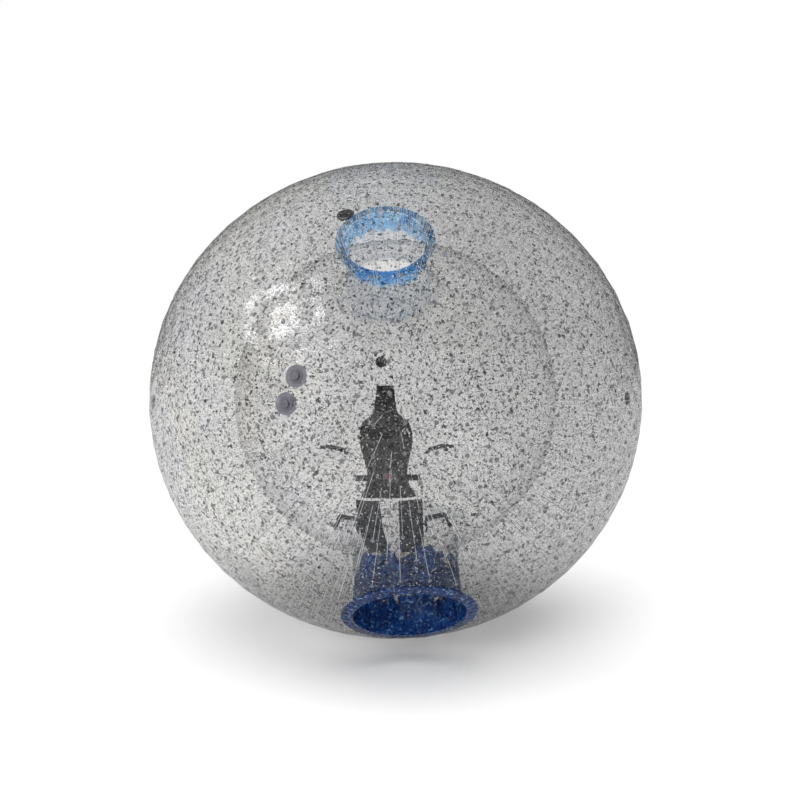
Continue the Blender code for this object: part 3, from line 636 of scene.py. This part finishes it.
def smooth_line(points, step):
    """Even points along a rounded line through a few corners."""
    points = np.asarray(points, dtype=float)
    for _ in range(3):
        near = 0.75 * points[:-1] + 0.25 * points[1:]
        far = 0.25 * points[:-1] + 0.75 * points[1:]
        points = np.concatenate([points[:1], np.stack([near, far], axis=1).reshape(-1, points.shape[1]),
                                 points[-1:]])
    travel = distance_along(points)
    places = np.linspace(0.0, travel[-1], max(8, int(travel[-1] / step)))
    return points_at(places, travel, points)


def strap(name, line, ups, width, thickness, **settings):
    """Webbing along a line of points; ups point off its lower face at each of them."""
    ahead = unit(np.gradient(line, axis=0))
    across = unit(np.cross(ahead, ups))
    ups = np.cross(across, ahead)
    travel = distance_along(line)
    shares = np.array([-1.0, -0.985, -0.93, -0.82, -0.4, 0.0, 0.4, 0.82, 0.93, 0.985, 1.0])
    edge = np.array([0.30, 0.62, 0.95, 1.0, 0.92, 0.92, 0.92, 1.0, 0.95, 0.62, 0.30])
    ripple = 1.0 + 0.03 * np.sin(travel / 0.013)
    skins = []
    for side in (1.0, -1.0):
        rise = thickness * (0.5 + 0.5 * side * edge[None, :] * ripple[:, None])
        skins.append(line[:, None, :] + across[:, None, :] * (shares[None, :, None] * width / 2.0)
                     + ups[:, None, :] * rise[..., None])
    flat = np.stack(np.broadcast_arrays(travel[:, None], shares[None, :] * width / 2.0), axis=-1)
    uv = np.concatenate([flat.reshape(-1, 2)] * 2)
    solid_grid(name, skins[0], skins[1], WEBBING, uv=uv, slot="black_webbing", **settings)
    return line, across, ups


def stitches(name, rows, ups, spacing=0.0055, length=0.0034, radius=0.0005):
    """Short thread stitches along rows of points; ups point off the cloth."""
    starts = []
    ends = []
    for row, up in zip(rows, ups):
        travel = distance_along(row)
        places = np.arange(spacing, travel[-1] - spacing, spacing)
        raised = row + up * radius * 0.6
        starts.append(points_at(places, travel, raised))
        ends.append(points_at(places + length, travel, raised))
    profile = ((0.0, 0.0, radius * 0.5), (0.25, 0.0, radius),
               (0.75, 0.0, radius), (1.0, 0.0, radius * 0.5))
    rods(name, np.concatenate(starts), np.concatenate(ends), profile, 5, THREAD, slot="black_webbing")


def sewn_ends(name, strap_parts, width, thickness, reach, from_end=0.004):
    """Two crossed boxes of stitches, one at each end of a strap that is sewn down."""
    line, across, ups = strap_parts
    travel = distance_along(line)
    half = width / 2.0 - 0.0035
    rows = []
    tops = []
    for low, high in ((from_end, reach), (travel[-1] - reach, travel[-1] - from_end)):
        places = np.linspace(low, high, 8)
        middle, side, up = (points_at(places, travel, part) for part in (line, across, ups))
        share = np.linspace(-1.0, 1.0, len(places))[:, None]
        edge = half * np.ones_like(share)
        for offset in (-edge, edge, half * share, -half * share):
            rows.append(middle + side * offset + up * thickness)
            tops.append(up)
    stitches(name, rows, tops)


def quilted_pad(name, node, rows, azimuth, reach, channel=0.070, columns=28):
    """Padded panel on the inner wall: crowned between sewn channels, pinched at its bound edge."""
    polars = np.array([row[0] for row in rows], dtype=float)
    halves = np.array([row[1] for row in rows], dtype=float)
    steps = int((polars[-1] - polars[0]) * math.pi / 180.0 / 0.009)
    polar = np.linspace(polars[0], polars[-1], steps)
    half = np.interp(polar, polars, halves)
    half = np.convolve(np.pad(half, 3, mode="edge"), np.ones(7) / 7.0, mode="valid")
    outer, inner = reach
    turn = np.radians(polar)[:, None]
    across = np.linspace(-1.0, 1.0, columns)[None, :]
    side = math.radians(azimuth) + across * half[:, None] / (outer * np.sin(turn))
    along = (turn - turn[0]) * outer
    length = float(along[-1, 0])
    count = max(1, round(length / channel))
    crown = np.abs(np.sin(math.pi * count * along / length)) ** 0.45
    gap = np.minimum(np.minimum(along, length - along), half[:, None] * (1.0 - np.abs(across)))
    rim = np.clip(gap / 0.022, 0.0, 1.0) ** 0.5
    spine = 1.0 - 0.75 * np.exp(-((across * half[:, None]) / 0.006) ** 2)
    depth = 0.003 + (outer - inner - 0.003) * rim * (0.35 + 0.65 * crown * spine)
    way = direction(turn * np.ones_like(across), side)
    back = settle(way * (outer * np.ones_like(depth))[..., None])
    front = settle(way * (outer - depth)[..., None])
    flat = np.stack(np.broadcast_arrays(along, across * half[:, None]), axis=-1)
    piece = solid_grid(name, back, front, PAD_CLOTH, nodes=(node,), slot="black_webbing",
                       uv=np.concatenate([flat.reshape(-1, 2)] * 2))
    border = np.concatenate([front[0, :], front[1:, -1], front[-1, -2::-1], front[-2:0:-1, 0]])
    binding(f"{name}_binding", border, 0.0032)
    inward = unit(CENTRE - front)
    seams = [round(number * (steps - 1) / count) for number in range(1, count)]
    stitches(f"{name}_stitches", [front[row, 2:-2] for row in seams] + [front[2:-2, columns // 2]],
             [inward[row, 2:-2] for row in seams] + [inward[2:-2, columns // 2]])


def binding(name, border, radius):
    """Rolled tape round the edge of a pad."""
    ahead = unit(np.roll(border, -1, axis=0) - np.roll(border, 1, axis=0))
    up = unit(CENTRE - border)
    across = np.cross(ahead, up)
    sides = 8
    turns = 2.0 * math.pi * np.arange(sides) / sides
    rings = (border[:, None, :] + across[:, None, :] * (radius * 1.3 * np.cos(turns))[None, :, None]
             + up[:, None, :] * (radius * np.sin(turns))[None, :, None])
    count = len(border)
    faces = [tuple(index % (count * sides) for index in face)
             for face in grid_faces(count + 1, sides, wrap=True)]
    travel = distance_along(border)
    uv = np.stack(np.broadcast_arrays(travel[:, None], turns[None, :] * radius), axis=-1)
    finish_piece(name, rings.reshape(-1, 3), faces, WEBBING, uv=uv.reshape(-1, 2), slot="black_webbing")


def wall_height(x):
    """Height of the inner ball's wall over its tangent plane, x to the side."""
    return WALL_CLEARANCE + INNER_RADIUS - np.sqrt(INNER_RADIUS ** 2 - x ** 2)


def wall_loop(name, node, place, half_span, foot, rise, width):
    """Webbing loop sewn down at both ends on the inner wall and arched over the middle."""
    matrix = wall_frame(INNER_RADIUS, place, inward=True)
    right = [(half_span + foot, 0.0), (half_span + 0.012, 0.0), (half_span, 0.10 * rise),
             (half_span, 0.75 * rise), (half_span * 0.92, rise), (half_span * 0.5, rise)]
    path = [(-x, z) for x, z in right] + [(0.0, rise)] + right[::-1]
    path = smooth_line([(x, z + wall_height(x)) for x, z in path], 0.004)
    line = placed(matrix, np.stack([path[:, 0], np.zeros(len(path)), path[:, 1]], axis=1))
    ahead = np.gradient(path, axis=0)
    ups = unit(np.stack([-ahead[:, 1], np.zeros(len(path)), ahead[:, 0]], axis=1) @ matrix[:3, :3].T)
    parts = strap(name, line, ups, width, WEB_THICKNESS, nodes=(node,))
    sewn_ends(f"{name}_stitches", parts, width, WEB_THICKNESS, foot - 0.003)


def wall_strap(name, node, rows, azimuth, lean, radius):
    """Webbing that runs up the back pad; rows are (polar, half width)."""
    steps = 60
    share = np.linspace(0.0, 1.0, steps)
    turn = np.radians(np.linspace(rows[0][0], rows[-1][0], steps))
    side = np.radians(azimuth - math.copysign(lean, azimuth) * share)
    line = on_ball(np.full(steps, radius), turn, side)
    parts = strap(name, line, unit(CENTRE - line), 2.0 * rows[0][1], WEB_THICKNESS, nodes=(node,))
    sewn_ends(f"{name}_stitches", parts, 2.0 * rows[0][1], WEB_THICKNESS, 0.045)


def belt_half(name, node):
    """Half of the waist belt, along its CAD node's own length."""
    steps = 60
    low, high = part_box(node)
    frame_back = wall_frame(INNER_RADIUS, (BELT_POLAR, 0.0), inward=True)
    middle = (np.array(low) + np.array(high)) / 2.0
    local = (middle - frame_back[:3, 3]) @ frame_back[:3, :3]
    half = (high[0] - low[0]) / 2.0
    x = np.linspace(local[0] - half, local[0] + half, steps)
    base = local[2] - WEB_THICKNESS / 2.0
    line = placed(frame_back, np.stack([x, np.full(steps, local[1]), np.full(steps, base)], axis=1))
    ups = np.tile(frame_back[:3, 2], (steps, 1))
    parts = strap(name, line, ups, WEB_WIDTH, WEB_THICKNESS, nodes=(node,))
    sewn_ends(f"{name}_stitches", parts, WEB_WIDTH, WEB_THICKNESS, 0.040)


def grip_tube(name, node, body, place):
    """Ribbed rubber grip that turns on its webbing."""
    low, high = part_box(node)
    middle = (np.array(low) + np.array(high)) / 2.0
    steps = 120
    height = np.linspace(-TUBE_LENGTH / 2.0, TUBE_LENGTH / 2.0, steps)
    ribs = 0.5 + 0.5 * np.cos(2.0 * math.pi * height / 0.0072)
    flange = np.exp(-((np.abs(height) - TUBE_LENGTH / 2.0 + 0.004) / 0.0028) ** 2)
    radius = TUBE_OUTER - 0.0016 + 0.0008 * ribs ** 3 + 0.0014 * flange
    turn = 2.0 * math.pi * np.arange(36) / 36
    frame_grip = wall_frame(INNER_RADIUS, place, inward=True)
    axis, side, up = frame_grip[:3, 0], frame_grip[:3, 1], frame_grip[:3, 2]
    way = np.cos(turn)[None, :, None] * up + np.sin(turn)[None, :, None] * side
    outside, inside = (middle + height[:, None, None] * axis + rings[:, None, None] * way
                       for rings in (radius, np.full(steps, TUBE_INNER + 0.0003)))
    solid_grid(name, outside, inside, RUBBER, wrap=True, nodes=(node,), body=body, slot="grip_rubber")


def ring_patch(number):
    """Welded disc with a raised rim and the sewn loop that holds a carrying ring."""
    matrix = wall_frame(OUTER_RADIUS, RING_PLACES[number - 1])
    up = -film_down(matrix)
    side = np.cross(up, matrix[:3, 2])
    local = np.eye(4)
    local[:3, 0], local[:3, 1], local[:3, 2], local[:3, 3] = side, up, matrix[:3, 2], matrix[:3, 3]
    rings = ((0.0005, 0.0022), (0.020, 0.0022), (0.040, 0.0019),
             (0.0425, 0.0024), (0.0445, 0.0016), (0.0452, 0.0008))
    turn = 2.0 * math.pi * np.arange(72) / 72
    top = np.array([[(radius * math.cos(t), radius * math.sin(t), height) for t in turn]
                    for radius, height in rings])
    low = top.copy()
    low[..., 2] = 0.0005
    drop = (top[..., 0] ** 2 + top[..., 1] ** 2) / (2.0 * OUTER_RADIUS)
    top[..., 2] -= drop
    low[..., 2] -= drop
    flat = np.concatenate([top[..., :2].reshape(-1, 2)] * 2)
    solid_grid(f"anchor_{number}_disc", placed(local, top), placed(local, low), WEBBING, wrap=True,
               nodes=(f"anchor_{number}_patch",), uv=flat, slot="black_webbing")
    half = [(0.034, 0.0024), (0.0102, 0.0024), (0.0062, 0.0060), (0.004, 0.0112)]
    path = [(-y, z) for y, z in half] + [(0.0, 0.0117)] + half[::-1]
    path = smooth_line(path, 0.0015)
    line = placed(local, np.stack([np.zeros(len(path)), path[:, 0], path[:, 1]], axis=1))
    ahead = np.gradient(path, axis=0)
    ups = unit(np.stack([np.zeros(len(path)), -ahead[:, 1], ahead[:, 0]], axis=1) @ local[:3, :3].T)
    parts = strap(f"anchor_{number}_web", line, ups, RING_WEB_WIDTH, RING_WEB_THICKNESS)
    sewn_ends(f"anchor_{number}_web_stitches", parts, RING_WEB_WIDTH, RING_WEB_THICKNESS, 0.024)


def film_down(matrix):
    """The way down along the film at a place on the ball."""
    down = np.array([0.0, 0.0, -1.0])
    normal = matrix[:3, 2]
    return unit(down - normal * (down @ normal))


def harness():
    quilted_pad("back_panel", "back_pad", PAD_ROWS, 0.0, PAD_REACH)
    for side, sign in (("left", -1.0), ("right", 1.0)):
        quilted_pad(f"leg_panel_{side}", f"leg_pad_{side}", LEG_ROWS, sign * LEG_AZIMUTH, LEG_REACH)
        wall_strap(f"shoulder_web_{side}", f"shoulder_strap_{side}", SHOULDER_ROWS, sign * SHOULDER_AZIMUTH,
                   SHOULDER_TOP_LEAN, SHOULDER_REACH)
        belt_half(f"belt_web_{side}", f"waist_belt_{side}")
    for side, grip, foot in zip(("left", "right"), GRIP_PLACES, FOOT_PLACES):
        wall_loop(f"grip_web_{side}", f"hand_grip_{side}_strap", grip, *GRIP_LOOP)
        wall_loop(f"foot_web_{side}", f"foot_loop_{side}", foot, *FOOT_LOOP)
        grip_tube(f"grip_sleeve_{side}", f"hand_grip_{side}_tube", f"grip_{side}_roll", grip)


harness()
for number in range(1, len(RING_PLACES) + 1):
    ring_patch(number)


# ---- floor, light and camera -------------------------------------------------------------------
def studio():
    """White floor without an end, a sky that is white only to the camera, and soft lamps."""
    floor_mesh = bpy.data.meshes.new("floor")
    signs = [(-1.0, -1.0), (1.0, -1.0), (1.0, 1.0), (-1.0, 1.0)]
    corners = [(x * FLOOR_REACH, y * FLOOR_REACH, -FLOOR_GAP) for x, y in signs]
    floor_mesh.from_pydata(corners, [], [(0, 1, 2, 3)])
    floor = bpy.data.objects.new("floor", floor_mesh)
    bpy.context.scene.collection.objects.link(floor)
    make = Nodes("floor_paint")
    paint = make.blend(make.noise(0.6, detail=2.0), (0.93, 0.93, 0.93), (0.95, 0.95, 0.95))
    shader = make.add("ShaderNodeBsdfPrincipled", {"Base Color": paint, "Roughness": 0.95})
    floor_mesh.materials.append(make.surface(shader.outputs[0]))

    world = bpy.data.worlds.new("studio")
    bpy.context.scene.world = world
    world.use_nodes = True
    nodes, links = world.node_tree.nodes, world.node_tree.links
    background = nodes["Background"]
    height = nodes.new("ShaderNodeSeparateXYZ")
    links.new(nodes.new("ShaderNodeTexCoord").outputs["Generated"], height.inputs[0])
    sky = nodes.new("ShaderNodeMapRange")
    links.new(height.outputs["Z"], sky.inputs["Value"])
    sky.inputs["From Min"].default_value = 0.0
    sky.inputs["From Max"].default_value = 0.9
    sky.inputs["To Min"].default_value = SKY_LOW
    sky.inputs["To Max"].default_value = SKY_HIGH
    seen = nodes.new("ShaderNodeMix")
    links.new(nodes.new("ShaderNodeLightPath").outputs["Is Camera Ray"], seen.inputs[0])
    links.new(sky.outputs["Result"], seen.inputs[2])
    seen.inputs[3].default_value = 1.0
    links.new(seen.outputs[0], background.inputs["Strength"])
    background.inputs["Color"].default_value = (1.0, 1.0, 1.0, 1.0)

    sun = bpy.data.lights.new("overhead", "SUN")
    sun.energy = SUN_STRENGTH
    sun.angle = math.radians(SUN_ANGLE)
    high = bpy.data.objects.new("overhead", sun)
    high.rotation_euler = (math.radians(3.0), math.radians(3.0), 0.0)
    high.visible_glossy = False
    bpy.context.scene.collection.objects.link(high)

    def lamp(name, place, size, power, mirrored):
        """Square lamp aimed at the ball; a mirrored one makes only highlights, the others none."""
        light = bpy.data.lights.new(name, "AREA")
        light.size = size
        light.energy = power
        made = bpy.data.objects.new(name, light)
        made.location = place
        made.visible_glossy = mirrored
        made.visible_diffuse = not mirrored
        made.rotation_euler = (Vector(CENTRE) - Vector(place)).to_track_quat("-Z", "Y").to_euler()
        bpy.context.scene.collection.objects.link(made)

    lamp("glint", (-6.0, -3.6, 6.4), 2.0, 420.0, True)
    lamp("fill", (-5.0, -7.5, 4.5), 4.0, 450.0, False)


def camera():
    lens = bpy.data.cameras.new("camera")
    angle = math.asin(OUTER_RADIUS / CAMERA_DISTANCE)
    lens.sensor_width = 36.0
    lens.lens = lens.sensor_width * BALL_RADIUS_SHARE / math.tan(angle)
    lens.shift_x = LENS_SHIFT
    lens.clip_end = 200.0
    view = bpy.data.objects.new("camera", lens)
    bpy.context.scene.collection.objects.link(view)
    azimuth, elevation = math.radians(CAMERA_AZIMUTH), math.radians(CAMERA_ELEVATION)
    back = Vector((math.sin(azimuth) * math.cos(elevation), -math.cos(azimuth) * math.cos(elevation),
                   math.sin(elevation)))
    view.location = Vector(CENTRE) + back * CAMERA_DISTANCE
    view.rotation_euler = (-back).to_track_quat("-Z", "Y").to_euler()
    bpy.context.scene.camera = view


studio()
camera()
scene = bpy.context.scene
scene.view_settings.view_transform = "Standard"
scene.cycles.transparent_max_bounces = 32
